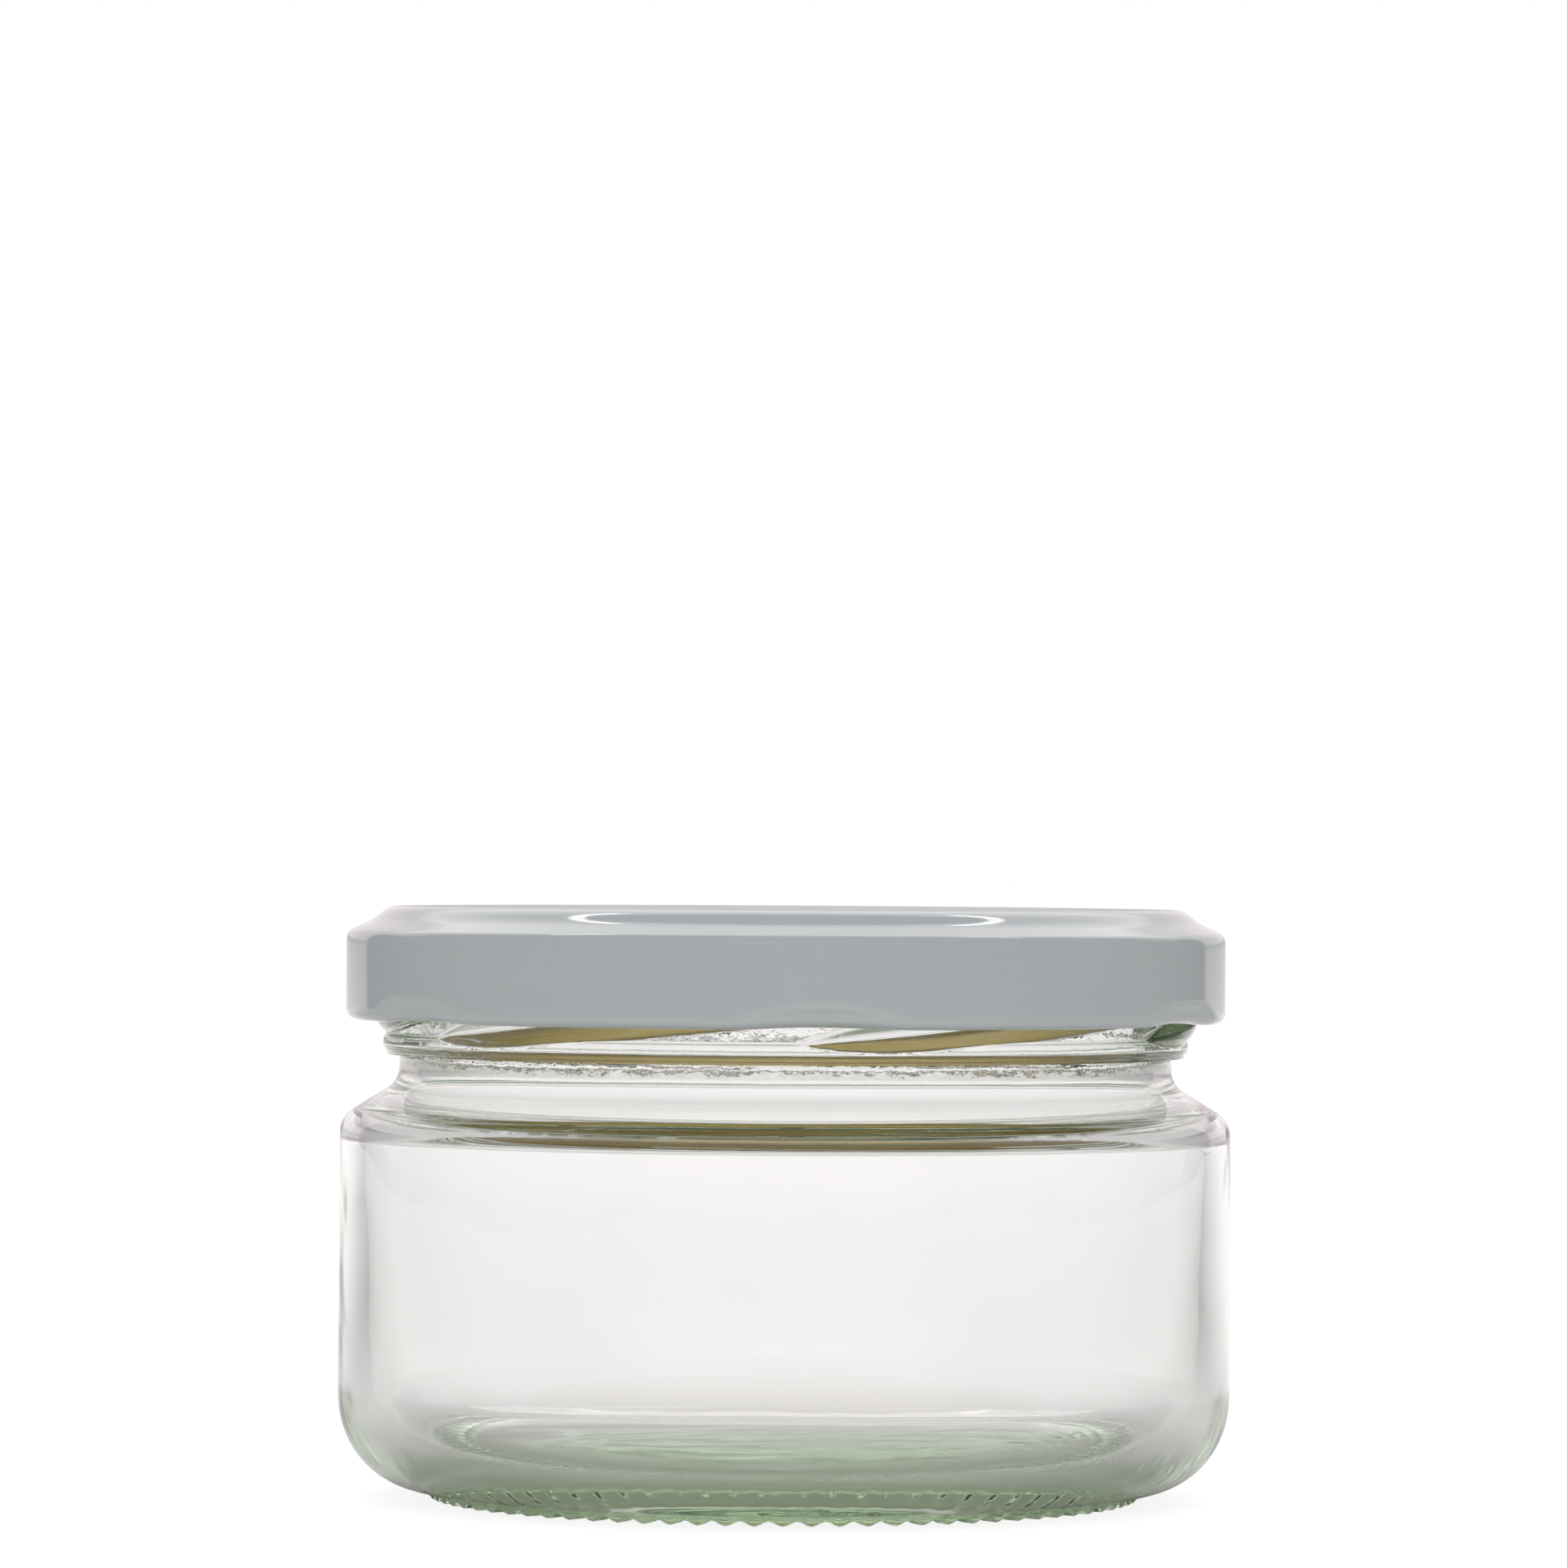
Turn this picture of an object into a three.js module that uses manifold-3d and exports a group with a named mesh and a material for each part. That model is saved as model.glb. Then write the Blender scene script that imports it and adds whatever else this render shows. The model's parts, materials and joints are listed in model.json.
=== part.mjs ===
// Twist-off jar: a low glass jar with a multi-start thread, closed by a pressed metal lid with as many lugs.
// Millimetres, +Z up. The origin is the middle of the foot, on the surface that the jar stands on.
// Angles run round the jar's axis from the front, -Y, towards +X, which is the way the lid unscrews.
import * as THREE from 'three';
import { mergeVertices } from 'three/addons/utils/BufferGeometryUtils.js';
import Module from 'manifold-3d';

// Glass, across
const MOUTH_RADIUS = 35.7;
const NECK_WALL = 2.0;
const FINISH_STEP = 1.2; // the threaded wall stands out from the neck
const BEAD_STEP = 0.4; // the bead stands out from the threaded wall
const SHOULDER_STEP = 5.8; // the body stands out from the neck
const SIDE_WALL = 2.6;
const SHOULDER_WALL = 2.2;
const HEEL_WIDTH = 8.3; // from the body's side in to the top of the foot ring
const FOOT_DRAFT = 0.6;
const FOOT_WIDTH = 2.4;

// Glass, upwards
const FOOT_HEIGHT = 1.0;
const HEEL_HEIGHT = 9.0;
const SIDE_HEIGHT = 25.4;
const NECK_LENGTH = 1.25;
const BEAD_HEIGHT = 2.0;
const FINISH_HEIGHT = 11.05; // from the bead to the rim
const PUSH_UP = 2.2; // hollow under the base
const BASE_THICKNESS = 3.6;
const FLOOR_DOME = 0.8;

// Glass, curves
const SHOULDER_SLOPE = THREE.MathUtils.degToRad(31);
const SHOULDER_RADIUS = 2.8;
const NECK_FILLET = 2.5;
const INNER_SHOULDER_RADIUS = 4.0;
const INNER_NECK_RADIUS = 2.5;
const INNER_HEEL_RADIUS = 7.5;
const LIP_RADIUS = 0.9;

// Knurl under the foot
const KNURL_RIBS = 80;
const KNURL_DEPTH = 0.35;
const RIB_LAND = 0.8; // flat on each rib's crest
const RIB_ROOT = 2.0;
const RIB_INSET = 0.15; // ribs stop short of the foot ring's edges

// Thread: each ridge starts low on the bead and climbs to the right
const THREAD_STARTS = 6;
const THREAD_DROP = 12.55; // from the rim down to a ridge's low end
const THREAD_DEPTH = 1.3;
const THREAD_HEIGHT = 2.4;
const THREAD_SWEEP = THREE.MathUtils.degToRad(85);
const THREAD_FIRST = THREE.MathUtils.degToRad(-58);
const THREAD_RUN_IN = THREE.MathUtils.degToRad(18); // a ridge grows to full size over this angle
const THREAD_RUN_OUT = THREE.MathUtils.degToRad(10);

// Lid
const SHEET = 0.25;
const PANEL_INSET = 0.7; // the panel's flat ends inside the threaded wall's radius
const PANEL_RISE = 1.75; // the panel stands above the lid's shoulder
const PANEL_EDGE = 1.1; // reach of the panel's rounded edge
const PANEL_EDGE_DROP = 1.3;
const PANEL_SLOPE_WIDTH = 3.0;
const LID_SHOULDER_DROP = 1.55;
const LID_SHOULDER_LEAN = 0.35; // the shoulder falls this much before it turns down
const CURL_RADIUS = 0.95;
const CURL_SWEEP = THREE.MathUtils.degToRad(234);
const CURL_ABOVE_LUG = 0.3;
const LUG_WIDTH = THREE.MathUtils.degToRad(18);
const LUG_THICKNESS = 1.0;
const LUG_SEAT = THREE.MathUtils.degToRad(62.6); // from a ridge's low end to the lug that it holds
const LUG_TUCK = 0.3; // the lug's round nose reaches this far up under the ridge's flank
const LUG_PLAY = 0.8; // spare height in the channel between two ridges

// Sealing ring
const SEAL_THICKNESS = 1.0;
const SEAL_LAP = 0.2; // the ring reaches inside the mouth
const SEAL_INSET = 0.6; // the ring ends inside the threaded wall's radius
const SEAL_ROUND = 0.35;

// Clearances
const SEAT_GAP = 0.05; // between flat faces that rest on each other
const LUG_CLEARANCE = 0.45; // from the lug's nose to the threaded wall
const SKIRT_CLEARANCE = 0.8; // from the thread's crest to the curl

const ROUND_STEPS = 48; // facets round the axis
const SINK = 0.6; // a joined form starts this deep inside its carrier

const neckRadius = MOUTH_RADIUS + NECK_WALL;
const finishRadius = neckRadius + FINISH_STEP;
const beadRadius = finishRadius + BEAD_STEP;
const bodyRadius = neckRadius + SHOULDER_STEP;
const innerRadius = bodyRadius - SIDE_WALL;
const heelFootRadius = bodyRadius - HEEL_WIDTH;
const footRadius = heelFootRadius - FOOT_DRAFT;
const footInnerRadius = footRadius - FOOT_WIDTH;

const heelTop = FOOT_HEIGHT + HEEL_HEIGHT;
const sideTop = heelTop + SIDE_HEIGHT;
const shoulderTurn = Math.PI / 2 - SHOULDER_SLOPE;
const shoulderTangentRadius = bodyRadius - SHOULDER_RADIUS * (1 - Math.cos(shoulderTurn));
const shoulderTangentHeight = sideTop + SHOULDER_RADIUS * Math.sin(shoulderTurn);
const slopeApex = shoulderTangentHeight + shoulderTangentRadius * Math.tan(SHOULDER_SLOPE);
const innerSlopeApex = slopeApex - SHOULDER_WALL / Math.cos(SHOULDER_SLOPE);
const neckBottom = filletTop(slopeApex, neckRadius, NECK_FILLET);
const neckTop = neckBottom + NECK_LENGTH;
const beadMiddle = neckTop + BEAD_HEIGHT / 2;
const beadTop = neckTop + BEAD_HEIGHT;
const rim = beadTop + FINISH_HEIGHT;
const floorMiddle = PUSH_UP + BASE_THICKNESS;
const floorEdge = floorMiddle - FLOOR_DOME;

const threadSpacing = 2 * Math.PI / THREAD_STARTS;
const threadLead = THREAD_STARTS * (THREAD_HEIGHT + LUG_THICKNESS + LUG_PLAY);
const threadFoot = rim - THREAD_DROP;

const sealBottom = rim + SEAT_GAP;
const sealTop = sealBottom + SEAL_THICKNESS;
const panelTop = sealTop + SEAT_GAP + SHEET;
const panelRadius = finishRadius - PANEL_INSET;
const lidRadius = finishRadius + THREAD_DEPTH + SKIRT_CLEARANCE + 2 * CURL_RADIUS;
const lugHeight = ridgeFoot(LUG_SEAT - LUG_WIDTH / 2) - LUG_THICKNESS / 2 + LUG_TUCK;
const curlHeight = lugHeight + CURL_ABOVE_LUG;

const wasm = await Module();
wasm.setup();

// Height where a fillet between the shoulder's slope and an upright neck ends on the neck.
function filletTop(apex, neck, fillet) {
  const tangentRadius = neck + fillet * (1 - Math.cos(shoulderTurn));
  return apex - tangentRadius * Math.tan(SHOULDER_SLOPE) + fillet * Math.sin(shoulderTurn);
}

// Height of a ridge's lower foot at an angle past its low end.
function ridgeFoot(angle) {
  return threadFoot + threadLead * angle / (2 * Math.PI);
}

// Points of an arc or quarter ellipse in the outline's plane, from one angle to another.
function arc(radius, height, reach, rise, from, to, steps) {
  const clockwise = to < from;
  return new THREE.EllipseCurve(radius, height, reach, rise, from, to, clockwise).getPoints(steps);
}

function point(radius, height) {
  return new THREE.Vector2(radius, height);
}

// The same line of points moved sideways, to the right of the way it runs.
function offsetLine(points, distance) {
  return points.map((here, i) => {
    const before = points[Math.max(i - 1, 0)];
    const after = points[Math.min(i + 1, points.length - 1)];
    const back = here.clone().sub(before).normalize();
    const ahead = after.clone().sub(here).normalize();
    const along = back.add(ahead);
    const mitre = along.length() / (i === 0 || i === points.length - 1 ? 1 : 2);
    along.normalize();
    return point(here.x + along.y * distance / mitre, here.y - along.x * distance / mitre);
  });
}

// A closed mesh with shared corners and no flat triangles.
function closedMesh(geometry) {
  geometry.deleteAttribute('normal');
  geometry.deleteAttribute('uv');
  const merged = mergeVertices(geometry, 1e-4);
  const corners = merged.index.array;
  const kept = [];
  for (let i = 0; i < corners.length; i += 3) {
    const [a, b, c] = corners.subarray(i, i + 3);
    if (a !== b && b !== c && c !== a) {
      kept.push(a, b, c);
    }
  }
  merged.setIndex(kept);
  return merged;
}

// An outline turned round the jar's axis. It runs up the outside and down the inside.
function turned(outline) {
  const geometry = new THREE.LatheGeometry(outline, ROUND_STEPS);
  geometry.rotateX(Math.PI / 2);
  return closedMesh(geometry);
}

// A straight bar of a section bent round the axis. place gives each point's radius and height from its
// spot in the section and its share of the way along.
function bentBar(section, from, to, place) {
  const steps = Math.ceil((to - from) / (2 * Math.PI / ROUND_STEPS));
  const geometry = new THREE.ExtrudeGeometry(section, { depth: 1, steps, bevelEnabled: false, curveSegments: 6 });
  const spots = geometry.attributes.position;
  for (let i = 0; i < spots.count; i += 1) {
    const share = 1 - spots.getZ(i);
    const angle = from + (to - from) * share;
    const { radius, height } = place(spots.getX(i), spots.getY(i), share);
    spots.setXYZ(i, radius * Math.sin(angle), -radius * Math.cos(angle), height);
  }
  return closedMesh(geometry);
}

function solidOf(geometry) {
  const vertProperties = new Float32Array(geometry.attributes.position.array);
  const triVerts = new Uint32Array(geometry.index.array);
  return new wasm.Manifold(new wasm.Mesh({ numProp: 3, vertProperties, triVerts }));
}

function joined(carrier, forms) {
  const whole = forms.reduce((sum, form) => sum.add(solidOf(form)), solidOf(carrier));
  const { vertProperties, triVerts } = whole.getMesh();
  const geometry = new THREE.BufferGeometry();
  geometry.setAttribute('position', new THREE.BufferAttribute(vertProperties, 3));
  geometry.setIndex(new THREE.BufferAttribute(triVerts, 1));
  return geometry;
}

// Glass outside: the hollow under the base, the foot ring, heel, side, shoulder, neck, bead and threaded wall.
function jarOutside() {
  const fillet = neckRadius + NECK_FILLET;
  return [
    ...new THREE.QuadraticBezierCurve(
      point(0, PUSH_UP),
      point(footInnerRadius, PUSH_UP),
      point(footInnerRadius, KNURL_DEPTH),
    ).getPoints(4),
    point(footRadius, KNURL_DEPTH),
    ...arc(heelFootRadius, heelTop, HEEL_WIDTH, HEEL_HEIGHT, -Math.PI / 2, 0, 6),
    ...arc(bodyRadius - SHOULDER_RADIUS, sideTop, SHOULDER_RADIUS, SHOULDER_RADIUS, 0, shoulderTurn, 3),
    ...arc(fillet, neckBottom, NECK_FILLET, NECK_FILLET, Math.PI + shoulderTurn, Math.PI, 3),
    ...arc(neckRadius, beadMiddle, beadRadius - neckRadius, BEAD_HEIGHT / 2, -Math.PI / 2, 0, 3),
    ...arc(finishRadius, beadMiddle, BEAD_STEP, BEAD_HEIGHT / 2, 0, Math.PI / 2, 2).slice(1),
    ...arc(finishRadius - LIP_RADIUS, rim - LIP_RADIUS, LIP_RADIUS, LIP_RADIUS, 0, Math.PI / 2, 2),
  ];
}

// Glass inside: the mouth, neck, shoulder, side, heel and floor.
function jarInside() {
  const innerFillet = MOUTH_RADIUS + INNER_NECK_RADIUS;
  const innerNeckBottom = filletTop(innerSlopeApex, MOUTH_RADIUS, INNER_NECK_RADIUS);
  const cornerRadius = innerRadius - INNER_SHOULDER_RADIUS;
  const tangentRadius = cornerRadius + INNER_SHOULDER_RADIUS * Math.cos(shoulderTurn);
  const tangentHeight = innerSlopeApex - tangentRadius * Math.tan(SHOULDER_SLOPE);
  const cornerHeight = tangentHeight - INNER_SHOULDER_RADIUS * Math.sin(shoulderTurn);
  const floorRadius = innerRadius - INNER_HEEL_RADIUS;
  return [
    ...arc(MOUTH_RADIUS + LIP_RADIUS, rim - LIP_RADIUS, LIP_RADIUS, LIP_RADIUS, Math.PI / 2, Math.PI, 2),
    ...arc(innerFillet, innerNeckBottom, INNER_NECK_RADIUS, INNER_NECK_RADIUS, Math.PI, Math.PI + shoulderTurn, 3),
    ...arc(cornerRadius, cornerHeight, INNER_SHOULDER_RADIUS, INNER_SHOULDER_RADIUS, shoulderTurn, 0, 3),
    ...arc(floorRadius, floorEdge + INNER_HEEL_RADIUS, INNER_HEEL_RADIUS, INNER_HEEL_RADIUS, 0, -Math.PI / 2, 5),
    ...new THREE.QuadraticBezierCurve(
      point(floorRadius, floorEdge),
      point(floorRadius / 2, floorMiddle),
      point(0, floorMiddle),
    ).getPoints(3).slice(1),
  ];
}

// One thread ridge: a rounded section that swells out of the threaded wall, climbs and fades out again.
function threadRidge(index) {
  const section = new THREE.Shape();
  section.moveTo(-SINK, 0);
  section.lineTo(0, 0);
  section.quadraticCurveTo(2 * THREAD_DEPTH, THREAD_HEIGHT / 2, 0, THREAD_HEIGHT);
  section.lineTo(-SINK, THREAD_HEIGHT);
  section.closePath();
  const start = THREAD_FIRST + index * threadSpacing;
  const leastGirth = 0.1;
  return bentBar(section, start, start + THREAD_SWEEP, (out, up, share) => {
    const angle = THREAD_SWEEP * share;
    const growing = angle / THREAD_RUN_IN;
    const fading = (THREAD_SWEEP - angle) / THREAD_RUN_OUT;
    const girth = Math.max(leastGirth, Math.min(1, growing, fading));
    const outward = out > 0 ? out * girth : out;
    return { radius: finishRadius + outward, height: ridgeFoot(angle) + up * girth };
  });
}

// One rib of the knurl: a blunt wedge across the foot ring, with its flat crest on the ground.
function knurlRib(index) {
  const rootHeight = KNURL_DEPTH + FOOT_HEIGHT / 4;
  const section = new THREE.Shape([
    point(-RIB_LAND / 2, 0),
    point(RIB_LAND / 2, 0),
    point(RIB_ROOT / 2, rootHeight),
    point(-RIB_ROOT / 2, rootHeight),
  ]);
  const geometry = new THREE.ExtrudeGeometry(section, { depth: FOOT_WIDTH - 2 * RIB_INSET, bevelEnabled: false });
  geometry.rotateX(Math.PI / 2);
  geometry.translate(0, -footInnerRadius - RIB_INSET, 0);
  geometry.rotateZ(index * 2 * Math.PI / KNURL_RIBS);
  return closedMesh(geometry);
}

function glassJar() {
  const ridges = Array.from({ length: THREAD_STARTS }, (_, index) => threadRidge(index));
  const ribs = Array.from({ length: KNURL_RIBS }, (_, index) => knurlRib(index));
  return joined(turned([...jarOutside(), ...jarInside()]), [...ridges, ...ribs]);
}

// Lid sheet's outer face, from the middle of the panel over the shoulder, down the skirt and round the curl.
function lidOutside() {
  const slopeEnd = point(panelRadius + PANEL_SLOPE_WIDTH, panelTop - PANEL_RISE);
  const skirtTop = slopeEnd.y - LID_SHOULDER_DROP;
  return [
    point(0, panelTop),
    ...new THREE.CubicBezierCurve(
      point(panelRadius, panelTop),
      point(panelRadius + PANEL_EDGE, panelTop),
      point(panelRadius + PANEL_EDGE, panelTop - PANEL_EDGE_DROP),
      slopeEnd,
    ).getPoints(6),
    ...new THREE.QuadraticBezierCurve(
      slopeEnd,
      point(lidRadius - LID_SHOULDER_LEAN, slopeEnd.y - LID_SHOULDER_LEAN),
      point(lidRadius, skirtTop),
    ).getPoints(4).slice(1),
    ...arc(lidRadius - CURL_RADIUS, curlHeight, CURL_RADIUS, CURL_RADIUS, 0, -CURL_SWEEP, 7),
  ];
}

// One lug: a round-nosed stretch of the curl pressed inwards, to run under a thread ridge.
function lidLug(index) {
  const noseRadius = LUG_THICKNESS / 2;
  const length = lidRadius - CURL_RADIUS - finishRadius - LUG_CLEARANCE;
  const section = new THREE.Shape();
  section.moveTo(0, -noseRadius);
  section.lineTo(0, noseRadius);
  section.lineTo(-length + noseRadius, noseRadius);
  section.absarc(-length + noseRadius, 0, noseRadius, Math.PI / 2, Math.PI * 3 / 2, false);
  section.closePath();
  const middle = THREAD_FIRST + LUG_SEAT + index * threadSpacing;
  const endLength = CURL_RADIUS + SINK;
  return bentBar(section, middle - LUG_WIDTH / 2, middle + LUG_WIDTH / 2, (out, up, share) => {
    const swell = Math.sqrt(Math.sin(Math.PI * share));
    const reach = endLength / length + (1 - endLength / length) * swell;
    return { radius: lidRadius - CURL_RADIUS + out * reach, height: lugHeight + up };
  });
}

function lidShell() {
  const outside = lidOutside();
  const inside = offsetLine(outside, SHEET);
  const lugs = Array.from({ length: THREAD_STARTS }, (_, index) => lidLug(index));
  return joined(turned([...inside, ...outside.reverse()]), lugs);
}

// Sealing ring: a flat band with rounded edges under the panel, closed on itself.
function sealingRing() {
  const inner = MOUTH_RADIUS - SEAL_LAP + SEAL_ROUND;
  const outer = finishRadius - SEAL_INSET - SEAL_ROUND;
  const low = sealBottom + SEAL_ROUND;
  const high = sealTop - SEAL_ROUND;
  const edges = [
    ...arc(outer, low, SEAL_ROUND, SEAL_ROUND, -Math.PI / 2, 0, 1),
    ...arc(outer, high, SEAL_ROUND, SEAL_ROUND, 0, Math.PI / 2, 1),
    ...arc(inner, high, SEAL_ROUND, SEAL_ROUND, Math.PI / 2, Math.PI, 1),
    ...arc(inner, low, SEAL_ROUND, SEAL_ROUND, Math.PI, Math.PI * 3 / 2, 1),
  ];
  return turned([...edges, edges[0]]);
}

function piece(name, geometry, finish) {
  const mesh = new THREE.Mesh(geometry, new THREE.MeshStandardMaterial(finish));
  mesh.name = name;
  return mesh;
}

const jar = new THREE.Group();
jar.add(
  piece('glass_jar', glassJar(), {
    color: 0xdfece2, roughness: 0.05, metalness: 0, transparent: true, opacity: 0.35,
  }),
  piece('sealing_ring', sealingRing(), { color: 0xe4dcc4, roughness: 0.6, metalness: 0 }),
  piece('lid_shell', lidShell(), { color: 0xc4caca, roughness: 0.3, metalness: 0 }),
);

export default jar;
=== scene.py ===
import json
import math

import bmesh
import bpy
from mathutils import Matrix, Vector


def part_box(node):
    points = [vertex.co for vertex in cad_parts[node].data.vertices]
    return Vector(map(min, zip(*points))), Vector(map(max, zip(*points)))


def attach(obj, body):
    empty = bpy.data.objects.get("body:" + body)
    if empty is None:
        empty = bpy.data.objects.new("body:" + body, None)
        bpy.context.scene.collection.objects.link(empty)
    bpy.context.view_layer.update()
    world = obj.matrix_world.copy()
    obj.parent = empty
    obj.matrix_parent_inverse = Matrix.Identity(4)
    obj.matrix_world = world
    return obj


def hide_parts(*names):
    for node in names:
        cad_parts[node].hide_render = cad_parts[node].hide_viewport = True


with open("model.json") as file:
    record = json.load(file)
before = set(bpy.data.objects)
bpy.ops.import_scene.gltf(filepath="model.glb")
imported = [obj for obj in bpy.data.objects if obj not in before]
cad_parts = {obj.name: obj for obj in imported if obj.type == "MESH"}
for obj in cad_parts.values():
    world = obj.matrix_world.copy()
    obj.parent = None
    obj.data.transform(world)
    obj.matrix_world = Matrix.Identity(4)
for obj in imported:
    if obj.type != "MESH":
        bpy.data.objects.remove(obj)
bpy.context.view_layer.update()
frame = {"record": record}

# Glass jar
# One blow-moulded piece of clear soda-lime glass, faintly green where it is thick. The knurled foot, heel,
# side, shoulder, neck, bead and thread ridges are all formed in the same glass, which carries the lid.
jar_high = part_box("glass_jar")[1]
body_radius = jar_high.x
rim_height = jar_high.z

# Outside of the glass, from the foot up
FOOT_RADIUS = 0.0346
FOOT_WIDTH = 0.0024
FOOT_ROUND = 0.0004
FOOT_HEIGHT = 0.001
PUSH_UP = 0.00156
PUSH_UP_SPREAD = 0.78
KNURL_RIBS = 80
KNURL_DEPTH = 0.0005
KNURL_WRAP = 0.0005
HEEL_WIDTH = 0.0083
HEEL_HEIGHT = 0.009
SIDE_TOP = 0.0354
SHOULDER_SLOPE = math.radians(31)
SHOULDER_RADIUS = 0.0028
NECK_RADIUS = 0.0377
NECK_FILLET = 0.0025
NECK_LENGTH = 0.00125
BEAD_RADIUS = 0.0393
BEAD_HEIGHT = 0.002
BEAD_FILLET = 0.0003
BEAD_FILLET_END = 100
BEAD_START = -72
FINISH_RADIUS = 0.0389
FINISH_ROWS = 44
LIP_RADIUS = 0.0009

# Inside of the glass, from the mouth down
MOUTH_RADIUS = 0.0357
INNER_NECK_RADIUS = 0.00665
INNER_SLOPE = math.radians(11.3)
INNER_SHOULDER_RADIUS = 0.00155
SHOULDER_WALL = 0.00225
SIDE_WALL = 0.0026
HEEL_WALL = 0.0032
INNER_HEEL_WIDTH = 0.0076
INNER_HEEL_HEIGHT = 0.0069
INNER_HEEL_FULLNESS = 0.63
FLOOR_EDGE = 0.004
FLOOR_MIDDLE = 0.0054

RIB_SEGMENTS = 6
EIGHTH_TURN = math.pi / 4
MERGE_DISTANCE = 1e-7


def arc(radius, height, reach, start, end, steps, rise=None):
    """Points round a centre at a radius and a height, between two angles in degrees from outwards to up."""
    if rise is None:
        rise = reach
    turns = [math.radians(start + (end - start) * step / steps) for step in range(steps + 1)]
    return [(radius + reach * math.cos(turn), height + rise * math.sin(turn)) for turn in turns]


def curve(points, steps):
    """Points along the Bezier curve of three or four control points."""
    line = []
    for step in range(steps + 1):
        share = step / steps
        level = points
        while len(level) > 1:
            level = [
                (a[0] + (b[0] - a[0]) * share, a[1] + (b[1] - a[1]) * share)
                for a, b in zip(level, level[1:])
            ]
        line.append(level[0])
    return line


def upright(radius, start, end, rows):
    """Points along an upright wall between two heights, without its ends."""
    return [(radius, start + (end - start) * row / rows) for row in range(1, rows)]


def turned(outline, segments):
    """An outline of radii and heights spun round the jar's axis: an eighth of a turn, doubled three times."""
    shape = bmesh.new()
    line = [shape.verts.new((radius, 0, height)) for radius, height in outline]
    for here, after in zip(line, line[1:]):
        shape.edges.new((here, after))
    bmesh.ops.spin(
        shape, geom=shape.verts[:] + shape.edges[:], cent=(0, 0, 0), axis=(0, 0, 1),
        angle=EIGHTH_TURN, steps=segments // 8,
    )
    for turn in (EIGHTH_TURN, 2 * EIGHTH_TURN, 4 * EIGHTH_TURN):
        copy = bmesh.ops.duplicate(shape, geom=shape.verts[:] + shape.edges[:] + shape.faces[:])
        bmesh.ops.rotate(
            shape, verts=[item for item in copy["geom"] if isinstance(item, bmesh.types.BMVert)],
            cent=(0, 0, 0), matrix=Matrix.Rotation(turn, 3, "Z"),
        )
    bmesh.ops.remove_doubles(shape, verts=shape.verts[:], dist=MERGE_DISTANCE)
    return shape


def finished(name, shape, body, node):
    """The shape as a smooth piece that rides on its body and stands for its node."""
    bmesh.ops.recalc_face_normals(shape, faces=shape.faces[:])
    for face in shape.faces:
        face.smooth = True
    mesh = bpy.data.meshes.new(name)
    shape.to_mesh(mesh)
    shape.free()
    piece = bpy.data.objects.new(name, mesh)
    bpy.context.scene.collection.objects.link(piece)
    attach(piece, body)
    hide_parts(node)
    return piece


def smooth_step(value):
    """A share from 0 to 1 that starts and ends gently."""
    share = min(max(value, 0), 1)
    return share * share * (3 - 2 * share)


def fillet_top(apex, neck, fillet, slope):
    """Height where a fillet between a shoulder's slope and an upright neck ends on the neck."""
    tangent = neck + fillet * (1 - math.sin(slope))
    return apex - tangent * math.tan(slope) + fillet * math.cos(slope)


# A slope's apex is the height at which its line would meet the jar's axis.
shoulder_turn = 90 - math.degrees(SHOULDER_SLOPE)
shoulder_tangent = body_radius - SHOULDER_RADIUS * (1 - math.cos(math.radians(shoulder_turn)))
slope_apex = (
    SIDE_TOP + SHOULDER_RADIUS * math.sin(math.radians(shoulder_turn))
    + shoulder_tangent * math.tan(SHOULDER_SLOPE)
)
slope_middle = (body_radius + NECK_RADIUS) / 2
inner_turn = 90 - math.degrees(INNER_SLOPE)
inner_slope_apex = (
    slope_apex - slope_middle * math.tan(SHOULDER_SLOPE) - SHOULDER_WALL / math.cos(SHOULDER_SLOPE)
    + slope_middle * math.tan(INNER_SLOPE)
)
neck_bottom = fillet_top(slope_apex, NECK_RADIUS, NECK_FILLET, SHOULDER_SLOPE)
inner_neck_bottom = fillet_top(inner_slope_apex, MOUTH_RADIUS, INNER_NECK_RADIUS, INNER_SLOPE)
neck_top = neck_bottom + NECK_LENGTH
bead_middle = neck_top + BEAD_HEIGHT / 2
bead_top = neck_top + BEAD_HEIGHT
finish_top = rim_height - LIP_RADIUS
heel_foot = body_radius - HEEL_WIDTH
heel_top = FOOT_HEIGHT + HEEL_HEIGHT
foot_inner = FOOT_RADIUS - FOOT_WIDTH
inner_radius = body_radius - SIDE_WALL
inner_heel_radius = body_radius - HEEL_WALL
floor_radius = inner_heel_radius - INNER_HEEL_WIDTH
corner_radius = inner_radius - INNER_SHOULDER_RADIUS
corner_tangent = corner_radius + INNER_SHOULDER_RADIUS * math.sin(INNER_SLOPE)
corner_height = (
    inner_slope_apex - corner_tangent * math.tan(INNER_SLOPE)
    - INNER_SHOULDER_RADIUS * math.cos(INNER_SLOPE)
)

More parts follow.
